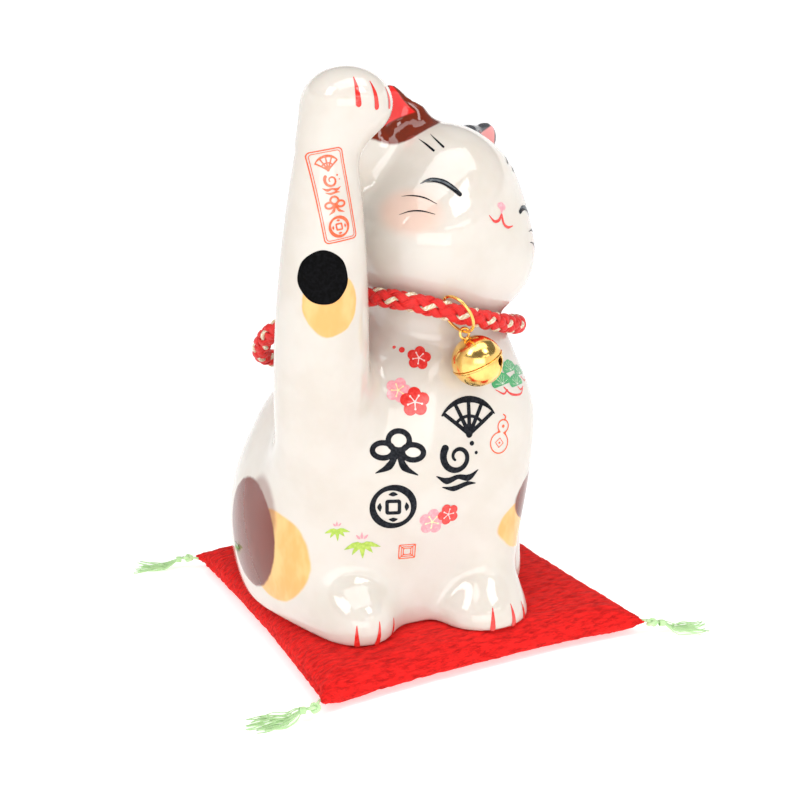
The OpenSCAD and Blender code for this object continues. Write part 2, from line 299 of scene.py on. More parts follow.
def traced(f, low, high, step):
    """Surface nets of f at level 0: quads with one corner in each grid cell that the surface crosses."""
    axes = [np.arange(a, b + step, step) for a, b in zip(low, high)]
    value = np.stack([f(columns(x, axes[1][:, None], axes[2])) for x in axes[0]])
    inside = value < 0
    n = inside.shape
    count = sum(inside[a:n[0] - 1 + a, b:n[1] - 1 + b, c:n[2] - 1 + c].astype(int)
                for a in (0, 1) for b in (0, 1) for c in (0, 1))
    active = (count > 0) & (count < 8)
    index = np.full(active.shape, -1)
    index[active] = np.arange(active.sum())
    cells = np.argwhere(active)
    total, crossings = np.zeros((len(cells), 3)), np.zeros(len(cells))
    start = np.array([a[0] for a in axes])
    edges = [(corner, k) for corner in np.ndindex(2, 2, 2) for k in range(3) if not corner[k]]
    for corner, k in edges:
        near = cells + corner
        v0, v1 = value[tuple(near.T)], value[tuple((near + np.eye(3, dtype=int)[k]).T)]
        cut = (v0 < 0) != (v1 < 0)
        point = start + step*near
        point[:, k] += step*v0/(v0 - v1 + 1e-12*(v0 == v1))
        total[cut] += point[cut]
        crossings[cut] += 1
    points = total/crossings[:, None]
    quads = []
    for k in range(3):
        u, v = (k + 1) % 3, (k + 2) % 3
        crossed = np.argwhere(np.diff(inside, axis=k))

        def cell(du, dv):
            c = crossed.copy()
            c[:, u] += du
            c[:, v] += dv
            return index[tuple(c.T)]
        quad = columns(cell(-1, -1), cell(0, -1), cell(0, 0), cell(-1, 0))
        outward = inside[tuple(crossed.T)]
        quads.append(np.where(outward[:, None], quad, quad[:, ::-1]))
    return points, np.concatenate(quads)


# ---- node materials ----

class Paint:
    """A node material: values are numbers, or sockets of other nodes."""

    def __init__(self, name, **surface):
        self.material = bpy.data.materials.new(name)
        self.material.use_nodes = True
        self.tree = self.material.node_tree
        self.tree.nodes.clear()
        out = self.tree.nodes.new("ShaderNodeOutputMaterial")
        self.shader = self.tree.nodes.new("ShaderNodeBsdfPrincipled")
        self.tree.links.new(self.shader.outputs[0], out.inputs[0])
        self.set(self.shader, surface)
        self.place = self.tree.nodes.new("ShaderNodeTexCoord")

    def set(self, node, values):
        for key, value in values.items():
            socket = node.inputs[key if isinstance(key, int) else key.replace("_", " ")]
            if isinstance(value, bpy.types.NodeSocket):
                self.tree.links.new(value, socket)
            else:
                socket.default_value = (*value, 1) if socket.type == "RGBA" else value

    def surface(self, **values):
        self.set(self.shader, values)

    def node(self, kind, inputs=None, **props):
        made = self.tree.nodes.new("ShaderNode" + kind)
        for key, value in props.items():
            setattr(made, key, value)
        self.set(made, inputs or {})
        return made

    def mm(self):
        inputs = {0: self.place.outputs["Object"], "Scale": 1000.0}
        return self.node("VectorMath", inputs, operation="SCALE").outputs[0]

    def maths(self, operation, a, b):
        return self.node("Math", {0: a, 1: b}, operation=operation).outputs[0]

    def vec(self, operation, a, b=(0, 0, 0)):
        made = self.node("VectorMath", {0: a, 1: b}, operation=operation)
        return made.outputs["Value" if operation in ("DOT_PRODUCT", "LENGTH") else "Vector"]

    def noise(self, where, scale, detail=2.0, rough=0.5, colour=False):
        inputs = {"Vector": where, "Scale": scale, "Detail": detail, "Roughness": rough}
        return self.node("TexNoise", inputs).outputs[1 if colour else 0]

    def range(self, value, a, b, c=0.0, d=1.0):
        """Goes smoothly from c to d while value goes from a to b."""
        inputs = {0: value, 1: a, 2: b, 3: c, 4: d}
        return self.node("MapRange", inputs, interpolation_type="SMOOTHSTEP").outputs[0]

    def mix(self, share, a, b):
        return self.node("Mix", {0: share, 6: a, 7: b}, data_type="RGBA").outputs[2]

    def bump(self, height, distance, strength=1.0, under=None):
        inputs = {"Height": height, "Distance": distance, "Strength": strength}
        if under is not None:
            inputs["Normal"] = under
        return self.node("Bump", inputs).outputs[0]


def glaze_finish(paint):
    """Gloss of a fired clear glaze: nearly smooth, with a faint unevenness."""
    where = paint.mm()
    uneven = paint.noise(where, 0.35, 3.0)
    fine = paint.noise(where, 2.6, 2.0)
    under = paint.bump(uneven, 0.00015, 0.3)
    paint.surface(Roughness=paint.range(fine, 0.3, 0.75, 0.035, 0.075),
                  Normal=paint.bump(fine, 0.000006, 0.3, under),
                  IOR=1.5, Coat_Weight=0.35, Coat_Roughness=0.03)
    return where


def soft_spot(paint, where, centre, radii, edge=0.05):
    """1 inside an ellipsoid about centre, 0 outside."""
    away = paint.vec("DIVIDE", paint.vec("SUBTRACT", where, centre), radii)
    return paint.range(paint.vec("LENGTH", away), 1 + edge, 1 - edge)


def half_space(paint, where, normal, level, edge=0.3):
    """1 where the dot product with normal is above level."""
    return paint.range(paint.vec("DOT_PRODUCT", where, normal), level - edge, level + edge)


# ---- the figure ----

CREAM, CREAM_DARK = (0.70, 0.65, 0.59), (0.66, 0.60, 0.53)
BROWN, BROWN_RED = (0.155, 0.018, 0.004), (0.18, 0.019, 0.004)
OCHRE, OCHRE_RED = (0.90, 0.53, 0.19), (0.86, 0.43, 0.12)
EAR_RED, EAR_PINK, SLATE = (0.80, 0.02, 0.018), (0.80, 0.30, 0.29), (0.06, 0.063, 0.072)
BLUSH = (0.90, 0.47, 0.33)


def glazed_material():
    paint = Paint("glazed_earthenware")
    where = glaze_finish(paint)
    wobble = paint.vec("SUBTRACT", paint.noise(where, 0.22, 2.0, colour=True), (0.5, 0.5, 0.5))
    brushed = paint.vec("ADD", where, wobble)
    cloud = paint.noise(where, 0.07, 3.0)
    colour = paint.mix(paint.range(cloud, 0.35, 0.7), CREAM, CREAM_DARK)
    strokes = paint.noise(paint.vec("MULTIPLY", where, (0.24, 0.24, 0.12)), 1.0, 2.0)
    q = paint.vec("SUBTRACT", where, tuple(EARS_AT))
    axes = [tuple(HEAD_TURN[:, k]) for k in range(3)]
    ear = paint.node("CombineXYZ", {k: paint.vec("DOT_PRODUCT", q, axes[k]) for k in range(3)}).outputs[0]
    ear_wavy = paint.vec("ADD", ear, wobble)

    for side in (-1, 1):
        cheek = soft_spot(paint, ear, (side*24 - 1, -18.5, 4.5), (9, 9, 6.5), 0.55)
        colour = paint.mix(paint.range(cheek, 0, 1, 0, 0.42), colour, BLUSH)

    brown = paint.mix(paint.range(strokes, 0.35, 0.7), BROWN, BROWN_RED)
    ochre = paint.mix(paint.range(strokes, 0.35, 0.7), OCHRE, OCHRE_RED)
    for centre, radii, tint in (
            ((-42.2, -39, 109.2), (7.4, 8, 9), ochre),
            ((-49.5, -13, 30.5), (13, 13.5, 14.3), ochre), ((-53.5, -1, 33.8), (10, 14.5, 17), brown),
            ((24, -31, 36), (15.5, 14, 8.5), ochre), ((31, -24, 42.5), (18.5, 18.5, 9), brown)):
        colour = paint.mix(soft_spot(paint, brushed, centre, radii, 0.035), colour, tint)
    shade = paint.range(soft_spot(paint, brushed, (-50, -7, 41), (7, 8, 12), 0.2), 0, 1, 0, 0.55)
    colour = paint.mix(shade, colour, BROWN_RED)

    cap = soft_spot(paint, ear_wavy, (-17, 8.6, 36.2), (18, 17, 16.5), 0.03)
    colour = paint.mix(cap, colour, brown)
    slate = soft_spot(paint, ear_wavy, (18, 2, 39), (14, 15, 13), 0.12)
    colour = paint.mix(slate, colour, SLATE)
    for side, tint in ((-1, EAR_RED), (1, EAR_PINK)):
        inner = 1.0
        for nx, ny, nz, level in ((0.6, 0, -0.8, -19.9), (0.584, 0, 0.812, 36.3),
                                  (-0.958, 0, -0.287, -32.4), (0, -1, 0, -2.6)):
            inner = paint.maths("MULTIPLY", inner, half_space(paint, ear, (side*nx, ny, nz), level))
        colour = paint.mix(inner, colour, tint)
    paint.surface(Base_Color=colour, Subsurface_Weight=0.06, Subsurface_Scale=0.002)
    return paint.material


glazed = glazed_material()
points, quads = traced(cat_on_base, (-60.5, -54, 6.5), (50, 54, 172), 1.15)
points = settle(cat_on_base, points)
add_mesh("figure", points, quads, glazed, "figure", "glaze", normals=slope(cat_on_base, points, SMOOTH),
         replaces=["figure_shell"])


# ---- painted marks: each is a flat shape in (u, v), laid on the glaze ----
# A shape is a function of u and v that gives the distance to its edge, below 0 inside.

def line(pts, widths):
    """A brush stroke through pts, whose half-width goes through widths."""
    pts = np.asarray(pts, float)
    widths = np.atleast_1d(np.asarray(widths, float))
    if len(widths) != len(pts):
        widths = np.interp(np.linspace(0, 1, len(pts)), np.linspace(0, 1, len(widths)), widths)

    def shape(u, v):
        d = np.full(u.shape, 1e3)
        for a, b, ra, rb in zip(pts[:-1], pts[1:], widths[:-1], widths[1:]):
            along = b - a
            t = np.clip(((u - a[0])*along[0] + (v - a[1])*along[1])/max(along @ along, 1e-9), 0, 1)
            away = np.hypot(u - a[0] - t*along[0], v - a[1] - t*along[1])
            d = np.minimum(d, away - ra - t*(rb - ra))
        return d
    return shape


def curve(pts, count=14):
    """Points on the smooth curve through pts."""
    pts = np.asarray(pts, float)
    ends = np.concatenate([[2*pts[0] - pts[1]], pts, [2*pts[-1] - pts[-2]]])
    return np.array([between(*ends[k:k + 4], t)
                     for k in range(len(pts) - 1) for t in np.arange(count)/count] + [pts[-1]])


def arc(at, r, a, b, n=16, squeeze=1.0):
    t = np.radians(np.linspace(a, b, n))
    return columns(at[0] + r*np.cos(t), at[1] + r*squeeze*np.sin(t))


def dot(at, r):
    return lambda u, v: np.hypot(u - at[0], v - at[1]) - r


def outline(shape, width):
    return lambda u, v: np.abs(shape(u, v)) - width


def rounded_box(half_u, half_v, corner):
    def shape(u, v):
        du, dv = np.abs(u) - half_u + corner, np.abs(v) - half_v + corner
        return np.hypot(np.maximum(du, 0), np.maximum(dv, 0)) + np.minimum(np.maximum(du, dv), 0) - corner
    return shape


def any_of(*shapes):
    return lambda u, v: np.minimum.reduce([shape(u, v) for shape in shapes])


def leaf(a, b, width):
    """A pointed leaf from a to b."""
    a, b = np.array(a, float), np.array(b, float)
    return line([a + (b - a)*t for t in (0, 0.15, 0.4, 0.7, 1)], [0.02, 0.7*width, width, 0.6*width, 0.01])


def ray(r, degrees):
    return r*math.cos(math.radians(degrees)), r*math.sin(math.radians(degrees))


def plum(r, turn=0):
    return any_of(dot((0, 0), 0.5*r), *[dot(ray(0.58*r, turn + 72*k), 0.44*r) for k in range(5)])


def stamens(r, turn=0):
    tips = [ray(0.5*r, turn + 36 + 72*k) for k in range(5)]
    return any_of(dot((0, 0), 0.09*r), *[line([(0, 0), tip], 0.035*r) for tip in tips],
                  *[dot(tip, 0.075*r) for tip in tips])


def filled(shape, window, cell):
    """The part of the window where shape is below 0, as points and faces with a smooth edge."""
    us, vs = np.arange(window[0], window[1] + cell, cell), np.arange(window[2], window[3] + cell, cell)
    d = shape(*np.meshgrid(us, vs, indexing="ij"))
    inside = d < 0
    made, points, faces = {}, [], []

    def point(key, u, v):
        if key not in made:
            made[key] = len(points)
            points.append((u, v))
        return made[key]

    def crossing(a, b):
        (i, j), (k, m) = a, b
        t = min(0.97, max(0.03, d[a]/(d[a] - d[b])))
        return point((min(a, b), max(a, b)), us[i] + t*(us[k] - us[i]), vs[j] + t*(vs[m] - vs[j]))

    some = inside[:-1, :-1] | inside[1:, :-1] | inside[:-1, 1:] | inside[1:, 1:]
    for i, j in np.argwhere(some):
        ring = [(i, j), (i + 1, j), (i + 1, j + 1), (i, j + 1)]
        face = []
        for a, b in zip(ring, ring[1:] + ring[:1]):
            if inside[a]:
                face.append(point(a, us[a[0]], vs[a[1]]))
            if inside[a] != inside[b]:
                face.append(crossing(a, b))
        if len(face) > 2:
            faces.append(face)
    return np.array(points).reshape(-1, 2), faces


def on_head(uv):
    """u and v are degrees about the head's centre: u to the figure's left, v upwards."""
    a, e = np.radians(uv[:, 0]), np.radians(uv[:, 1])
    ahead = columns(np.sin(a)*np.cos(e), -np.cos(a)*np.cos(e), np.sin(e)) @ HEAD_TURN.T
    low, high = np.full(len(uv), 8.0), np.full(len(uv), 60.0)
    for _ in range(24):
        mid = (low + high)/2
        inside = cat(HEAD_AT + ahead*mid[:, None]) < 0
        low, high = np.where(inside, mid, low), np.where(inside, high, mid)
    return HEAD_AT + ahead*low[:, None]


def on_skin(at, turn=0):
    """u and v are millimetres in the plane that touches the skin at the point nearest to at."""
    def place(uv):
        here = settle(cat, np.array([at], float))
        out = slope(cat, here)[0]
        right = unit(np.cross((0.0, 0.0, 1.0), out))
        above = np.cross(out, right)
        c, s = ray(1, turn)
        p = here + (uv[:, :1]*c - uv[:, 1:]*s)*right + (uv[:, :1]*s + uv[:, 1:]*c)*above
        for _ in range(6):
            p = p - out*cat(p)[:, None]/np.maximum(slope(cat, p) @ out, 0.35)[:, None]
        return p
    return place


def marks(name, parts, material):
    """One mesh of parts: each a shape, its window in u and v, how to place it, its cell and its height."""
    def laid(shape, window, place, cell, lift=0.06):
        flat, faces = filled(shape, window, cell)
        return settle(cat, place(flat), lift, 3), faces, flat

    points, faces, uv = joined([laid(*part) for part in parts])
    return add_mesh(name, points, faces, material, "figure", "glaze",
                    normals=slope(cat, points, SMOOTH), uv=uv)


def pigment(name, colour, other, scale=1.2, matt=False):
    """Overglaze colour laid on with a brush: a little uneven, under the same gloss or duller if matt."""
    paint = Paint(name)
    tone = paint.noise(glaze_finish(paint), scale, 3.0)
    if matt:
        paint.surface(Coat_Weight=0.0, Specular_IOR_Level=0.04)
    paint.surface(Base_Color=paint.mix(paint.range(tone, 0.35, 0.7), colour, other))
    return paint.material


red_mark = pigment("painted_red", (0.70, 0.025, 0.02), (0.80, 0.06, 0.05))
pink_mark = pigment("painted_pink", (0.86, 0.30, 0.35), (0.90, 0.42, 0.46))
pale_mark = pigment("painted_pale_pink", (0.92, 0.62, 0.60), (0.92, 0.70, 0.66))
ink_mark = pigment("painted_ink", (0.009, 0.010, 0.013), (0.025, 0.027, 0.033), matt=True)
wash_mark = pigment("painted_grey_wash", (0.075, 0.085, 0.10), (0.19, 0.21, 0.225), 0.8, matt=True)
black_mark = pigment("painted_black", (0.002, 0.002, 0.002), (0.005, 0.005, 0.006), matt=True)
orange_mark = pigment("painted_orange", (0.83, 0.10, 0.03), (0.86, 0.16, 0.06))
green_mark = pigment("painted_green", (0.03, 0.30, 0.10), (0.07, 0.42, 0.14))
lime_mark = pigment("painted_lime", (0.36, 0.55, 0.05), (0.50, 0.66, 0.09))
straw_mark = pigment("painted_straw", (0.93, 0.74, 0.35), (0.93, 0.82, 0.55))
white_mark = pigment("painted_white", (0.88, 0.88, 0.80), (0.80, 0.86, 0.70))
dim_mark = pigment("painted_dim_green", (0.05, 0.13, 0.02), (0.10, 0.18, 0.03))

# the face

FACE = 0.22  # degrees to a cell on the face
near_lid = curve([(-54.5, 20.2), (-49, 23.6), (-42, 23.6), (-36, 21), (-31, 17.8)])
near_ink = curve([(-52, 21.4), (-46, 22.6), (-41, 21.9), (-36, 19.7), (-31.3, 17.4)])
far_lid = curve([(14.5, 17.4), (19, 20.3), (25, 21.8), (31, 20.8), (37.5, 17.8)])
far_ink = curve([(14.7, 17.3), (18.5, 19.4), (23.5, 20.6), (28, 20.3)])
marks("eyes_wash", [(line(near_lid, [0.2, 0.9, 1.5, 1.5, 1.1]), (-58, -28, 14, 28), on_head, FACE),
                    (line(far_lid, [1.1, 1.5, 1.5, 0.9, 0.2]), (11, 42, 13, 26), on_head, FACE)], wash_mark)
marks("eyes_ink", [
    (line(near_ink, [0.05, 0.45, 0.6, 0.75, 1.2]), (-54, -28, 14, 26), on_head, FACE, 0.1),
    (line(near_lid + (0, 0.9), [0.02, 0.35, 0.4, 0.3, 0.2]), (-58, -28, 14, 28), on_head, FACE, 0.1),
    (line(far_ink, [1.15, 0.8, 0.5, 0.05]), (11, 32, 13, 26), on_head, FACE, 0.1)], ink_mark)


def hair(pts, widths, margin=1.5):
    (left, low), (right, high) = np.min(pts, 0) - margin, np.max(pts, 0) + margin
    return line(curve(pts), widths), (left, right, low, high), on_head, FACE


whiskers = [[(-43, 9.4), (-50, 11.8), (-57, 12.2), (-63, 11)],
            [(-43, 3.6), (-50, 4.2), (-56, 3.2), (-61.5, 0.6)],
            [(25, 8.2), (32, 10.2), (39, 10.4), (45, 9)], [(26, 2.4), (32, 3), (38, 2), (43.5, -0.6)]]
brows = [[(-52, 43.5), (-60, 48), (-69, 52)], [(-45.5, 47), (-53, 52), (-61, 57)],
         [(22, 43.5), (30, 47.5), (38, 51)], [(16, 47), (23, 52), (30, 56)]]
marks("whiskers_and_brows", [hair(pts, [0.12, 0.42, 0.36, 0.1]) for pts in whiskers]
      + [hair(pts, [0.8, 0.6, 0.1]) for pts in brows], ink_mark)
nose = any_of(dot((-4.8, 16.9), 1.7), dot((-1.6, 16.9), 1.7), line([(-3.2, 17), (-3.2, 12.6)], [2.3, 0.3]))
marks("nose", [(nose, (-8, 2, 11, 20), on_head, FACE)], pink_mark)
lips = [[(-3.2, 12.2), (-5.2, 8.6), (-8.6, 7.2), (-12.4, 9.6)],
        [(-3.2, 12.2), (-1.4, 7.6), (2.2, 6.2), (6.4, 7.8)]]
mouth = any_of(*[line(curve(pts), [0.7, 0.85, 0.8, 0.25]) for pts in lips])
marks("mouth", [(mouth, (-15, 9, 3, 15), on_head, FACE)], red_mark)


def claw(at, foot, lean=0.0, length=7.2):
    """A tapered red line down the front of a toe."""
    return (line([(lean, 0.5*length), (0, 0), (-0.6*lean, -0.5*length)], [0.12, 0.55, 0.95*foot]),
            (-2.5, 2.5, -0.62*length, 0.62*length), on_skin(at), 0.18)


paw = [((-35.2, -41, 163), 0.8, -0.2), ((-30.6, -41.6, 162.2), 0.75, -0.2, 6.6),
       ((-25.8, -39.6, 161.4), 0.7, 0, 5)]
right_foot = [((-36, -39.8, 13), 0.9, 0, 6), ((-29.8, -40.8, 13), 0.9, 0.5, 6.6),
              ((-24, -38.2, 12.6), 0.8, 0.4, 5)]
left_foot = [((4.4, -47.2, 12.8), 0.9, 0.3, 6), ((11.2, -47, 12.6), 0.9, 0.2, 6),
             ((16.2, -45.2, 12.2), 0.8, 0.3, 5)]
marks("claws", [claw(*toe) for toe in paw + right_foot + left_foot], red_mark)

# the body

PEN = 0.16  # mm to a cell on the body


def hand_drawn_disc(u, v, r=7.15):
    a = np.arctan2(v, u)
    return np.hypot(u*1.1, v) - r + 0.12*np.sin(3*a + 1) + 0.06*np.sin(7*a)


def blossom(part, at, r, turn, lift=0.06):
    return part(r, turn), (-r - 1, r + 1, -r - 1, r + 1), on_skin(at), PEN, lift


marks("arm_disc", [(hand_drawn_disc, (-9, 9, -9, 9), on_skin((-44.3, -39.2, 116.2)), 0.25)], black_mark)
red_plums = [((-10.2, -27.8, 88.7), 3.4, 8), ((-13.5, -31.7, 77.1), 4.2, 20), ((-5.7, -37.8, 43.9), 3.3, 40)]
pink_plums = [((-17.3, -28.7, 80.3), 3.6, 0), ((-10.6, -37.2, 42.2), 4.0, 12)]
two_spots = any_of(dot((-1.1, 0.4), 0.5), dot((1.2, -0.3), 0.85))
marks("plums_pink", [blossom(plum, *where) for where in pink_plums], pink_mark)
marks("plums_pink_stamens", [blossom(stamens, *where, 0.09) for where in pink_plums], straw_mark)
marks("plums_red", [blossom(plum, *where, 0.11) for where in red_plums]
      + [(two_spots, (-2.5, 2.5, -2, 2), on_skin((-14.8, -23.6, 91)), PEN)], red_mark)
marks("plums_red_stamens", [blossom(stamens, *where, 0.15) for where in red_plums], pale_mark)


def fan(r=9.5, pivot=(0, -5.6), w=0.62):
    tips = [np.add(pivot, ray(r, a)) for a in (38, 64, 90, 116, 142)]
    return any_of(line(arc(pivot, 1.06*r, 34, 146), [0.3*w, 1.35*w, 1.6*w, 1.1*w, 0.4*w]),
                  line(arc(pivot, 0.55*r, 38, 142), 0.75*w), dot(pivot, 1.7*w),
                  *[line([pivot, tip], [w, 0.7*w, 0.9*w]) for tip in tips])


def wave(r=4.6, w=0.75):
    t = np.linspace(0, 1, 40)
    spiral = (r*(1.05 - 0.8*t))[:, None]*columns(np.cos(7.6*t + 2.4), np.sin(7.6*t + 2.4)) + (0.6, 1.6)
    return any_of(line(spiral, [1.5*w, w, 0.8*w, 0.5*w]),
                  line(curve([(-6.6, -2.6), (-3.6, -4.6), (0, -4.2), (3.4, -5.2), (6.6, -3.6)]),
                       [0.2*w, 1.3*w, 0.9*w, 1.3*w, 0.2*w]),
                  line(curve([(-5.2, -6.2), (-1.6, -7.4), (2.6, -6.9), (5.4, -7.4)]),
                       [0.2*w, 1.1*w, 0.9*w, 0.2*w]),
                  dot((5.6, 4.6), 0.95*w), dot((6.6, 1.6), 0.7*w))


def knot(r=3.0, w=0.78):
    loops = [line(arc(at, r, 0, 360, 30, squeeze), w)
             for at, squeeze in (((-4.3, 0.8), 0.72), ((4.3, 0.8), 0.72), ((0, 3.9), 0.9))]
    tails = [line(curve(pts), [w, 1.35*w, 0.2*w])
             for pts in ([(-0.4, 0), (-2.2, -3.6), (-5.8, -5.8)], [(0.4, 0), (2.2, -3.6), (6.2, -5.6)])]
    return any_of(dot((0, 0.6), 1.7*w), *tails, *loops)


def coin(r=5.9, w=0.85):
    def rim(u, v):
        return np.abs(np.hypot(u, 1.02*v) - r) - w*(1 + 0.25*np.sin(2*np.arctan2(v, u)))

    petals = [line(arc((0, 0), 0.66*r, a - 17, a + 17), [0.2*w, 0.8*w, 0.2*w]) for a in (0, 90, 180, 270)]
    return any_of(rim, outline(rounded_box(0.3*r, 0.3*r, 0.3), 0.6*w), *petals)


def small(shape, rise, size):
    return lambda u, v: shape(u/size, (v - rise)/size)*size


marks("brushed_emblems", [
    (fan(), (-10, 10, -8, 6), on_skin((1.8, -35.9, 72.4), turn=-4), PEN),
    (wave(), (-8.5, 8.5, -9, 8), on_skin((-3.2, -38, 59.2), turn=5), PEN),
    (knot(), (-9, 9, -8, 8.5), on_skin((-19.8, -33.4, 63), turn=-5), PEN),
    (coin(), (-8, 8, -8, 8), on_skin((-21.8, -34.5, 47.8)), PEN)], ink_mark)
panel = any_of(outline(rounded_box(4.4, 11.6, 1.1), 0.16), outline(rounded_box(3.85, 11.05, 0.8), 0.1),
               small(fan(), 8.5, 0.35), small(wave(), 3.3, 0.36),
               small(knot(), -2.5, 0.35), small(coin(), -7.9, 0.42))
marks("arm_panel", [(panel, (-6, 6, -13, 13), on_skin((-40.9, -38.3, 137), turn=9.5), 0.13)], orange_mark)


def square_seal():
    corners = [line([(a*0.9, a*b*0.9), (a*2.2, a*b*2.2)], 0.15) for a in (-1, 1) for b in (-1, 1)]
    sides = [line(pts, 0.14) for pts in ([(-1.7, -1.5), (-1.7, 1.5)], [(1.7, -1.5), (1.7, 1.5)],
                                            [(-1.5, 1.7), (1.5, 1.7)], [(-1.5, -1.7), (1.5, -1.7)])]
    return any_of(outline(rounded_box(2.4, 2.4, 0.3), 0.17), outline(rounded_box(1.1, 1.1, 0.1), 0.15),
                  *corners, *sides)


def gourd():
    def body(u, v):
        return blend(np.hypot(u, v + 2.0) - 3.1, np.hypot(u - 0.7, v - 2.9) - 1.9, 0.9)

    def lozenge(u, v):
        return np.abs(u) + np.abs(v + 2) - 1.4

    return any_of(outline(body, 0.2), line(curve([(0.9, 4.7), (1.3, 5.7), (0.5, 6.3)]), 0.22),
                  outline(lozenge, 0.17), dot((0.7, 2.9), 0.5), dot((0, -2), 0.35))


marks("seals", [(square_seal(), (-3, 3, -3, 3), on_skin((-17, -33.8, 33)), 0.12),
                (gourd(), (-4.5, 4.5, -6, 7.5), on_skin((11.6, -37.3, 65), turn=-12), 0.12)], orange_mark)


def sprig(size):
    """Five bamboo leaves hanging from one point."""
    tips = [(-4.6, -1.6), (-2.6, -3.3), (0.2, -4.6), (2.8, -3.1), (4.8, -1.3)]
    return any_of(*[leaf((0.12*x*size, 0.1*size), (x*size, y*size), 0.72*size) for x, y in tips])


def bud(size):
    return any_of(*[leaf((0.3*x*size, 1.1*size), (x*size, y*size), 0.36*size)
                    for x, y in ((-1.5, 2.3), (0, 3.1), (1.6, 2.4))])


sprigs = [((-36.4, -27.7, 41.2), 0.8), ((-29.6, -29.9, 36.6), 1.15)]
marks("bamboo_leaves", [(sprig(k), (-7*k, 7*k, -6*k, 2*k), on_skin(at), PEN) for at, k in sprigs], lime_mark)
marks("bamboo_buds", [(bud(k), (-3*k, 3*k, 0, 4*k), on_skin(at), PEN) for at, k in sprigs], pink_mark)
marks("haunch_leaf", [(sprig(0.7), (-5, 5, -4.5, 2), on_skin((-54, 9, 26.5)), PEN)], dim_mark)


def tuft(x, y, r):
    """A pine bough: a low crown of five lobes, cut off flat below."""
    lobes = any_of(*[dot((x + a*r, y + b*r), 0.5*r)
                     for a, b in ((-0.62, 0.05), (-0.3, 0.42), (0.12, 0.52), (0.5, 0.3), (0.68, 0))])
    middle = dot((x, y), 0.62*r)
    return lambda u, v: np.maximum(np.minimum(middle(u, v), lobes(u, (v - y)*1.25 + y)), y - 0.28*r - v)


def needles(x, y, r):
    root = (x, y - 0.2*r)
    return [line([root, (x + 0.78*r*math.cos(a), root[1] + 0.85*r*math.sin(a))], [0.05, 0.13, 0.06])
            for a in np.radians((15, 48, 75, 105, 132, 165))]


pine_at = on_skin((18.6, -29.4, 80.6))
tufts = [(-4.6, -1.2, 3.6), (1.6, 1.6, 3.4), (6.6, -0.4, 3.0), (2.0, -3.0, 3.3)]
stems = [([(-8, -2.6), (-5.6, -4.6), (-3.6, -3.9)], [0.12, 0.3, 0.2]),
         ([(-4.6, -2.9), (-2.6, -5.6), (1.6, -6.6), (4.4, -5.4)], [0.2, 0.4, 0.3, 0.1]),
         ([(1.8, -4.3), (2.8, -5.4), (5.4, -4.7)], [0.2, 0.28, 0.12]),
         ([(6.6, -1.8), (8.4, -3.4), (10, -2.6)], [0.2, 0.3, 0.1])]
marks("pine_stems", [(any_of(*[line(curve(pts), widths) for pts, widths in stems]),
                      (-10, 11.5, -8, 0), pine_at, PEN)], red_mark)
for name, drawn, cell, lift, pigment_used in (
        ("pine_tufts", [tuft(*t) for t in tufts], PEN, 0.09, green_mark),
        ("pine_needles", [needle for t in tufts for needle in needles(*t)], 0.12, 0.13, white_mark)):
    marks(name, [(any_of(*drawn), (-10, 11.5, -6, 6), pine_at, cell, lift)], pigment_used)


# ---- the braided collar ----

def along_loop(points, samples):
    """The closed smooth curve through points, cut into equal lengths, and its whole length."""
    n = len(points)
    fine = np.array([between(*(points[(i + k) % n] for k in (-1, 0, 1, 2)), t)
                     for i in range(n) for t in np.arange(40)/40] + [points[0]])
    places = run(fine)
    return sampled(np.arange(samples)*places[-1]/samples, places, fine), places[-1]


CORD = np.array([(-2, -37.3, 102.2), (8, -35, 99.3), (17.5, -29.8, 96.4), (25.8, -22.2, 93.8),
                 (33, -8.5, 91), (32, 7, 87.5), (23.5, 21, 84), (8.5, 31.5, 80.5), (-10, 36, 77.5),
                 (-27.5, 33.5, 77), (-38.5, 24, 82), (-40.5, 12, 90.5), (-35.5, 2, 96.5), (-28, -9, 101.5),
                 (-23.2, -20, 106), (-17.8, -31, 106.6), (-10.5, -35.4, 105)])
SAMPLES, TURNS = 560, 12
STRAND_AT, WEAVE = 1.82, 0.46  # how far a strand lies from the cord's middle, and how far it rises and dips
core, cord_length = along_loop(CORD, SAMPLES)
core_side = unit(np.cross(ahead_on(core), (0, 0, 1)))
core_up = np.cross(core_side, ahead_on(core))


def strand(direction, phase, half_width, half_depth, sides=10):
    """One strand of a one-over-one-under tubular braid of eight."""
    turn = 2*math.pi*TURNS*np.arange(SAMPLES)/SAMPLES
    angle = direction*turn + phase
    out = mixed((np.cos(angle), core_side), (np.sin(angle), core_up))
    path = core + (STRAND_AT + direction*WEAVE*np.cos(4*turn))[:, None]*out
    ahead = ahead_on(path)
    out = unit(out - ahead*(out*ahead).sum(-1, keepdims=True))
    across = np.cross(ahead, out)
    a = np.arange(sides)*2*math.pi/sides
    lift = np.abs(np.sin(a))**0.8*np.sign(np.sin(a))
    points = path[:, None] + mixed((half_width*np.cos(a), across[:, None]), (half_depth*lift, out[:, None]))
    uv = columns(np.arange(SAMPLES)[:, None]*cord_length*1.4/SAMPLES, a*half_width)
    return points.reshape(-1, 3), grid_faces(SAMPLES, sides, close_rows=True), uv.reshape(-1, 2)


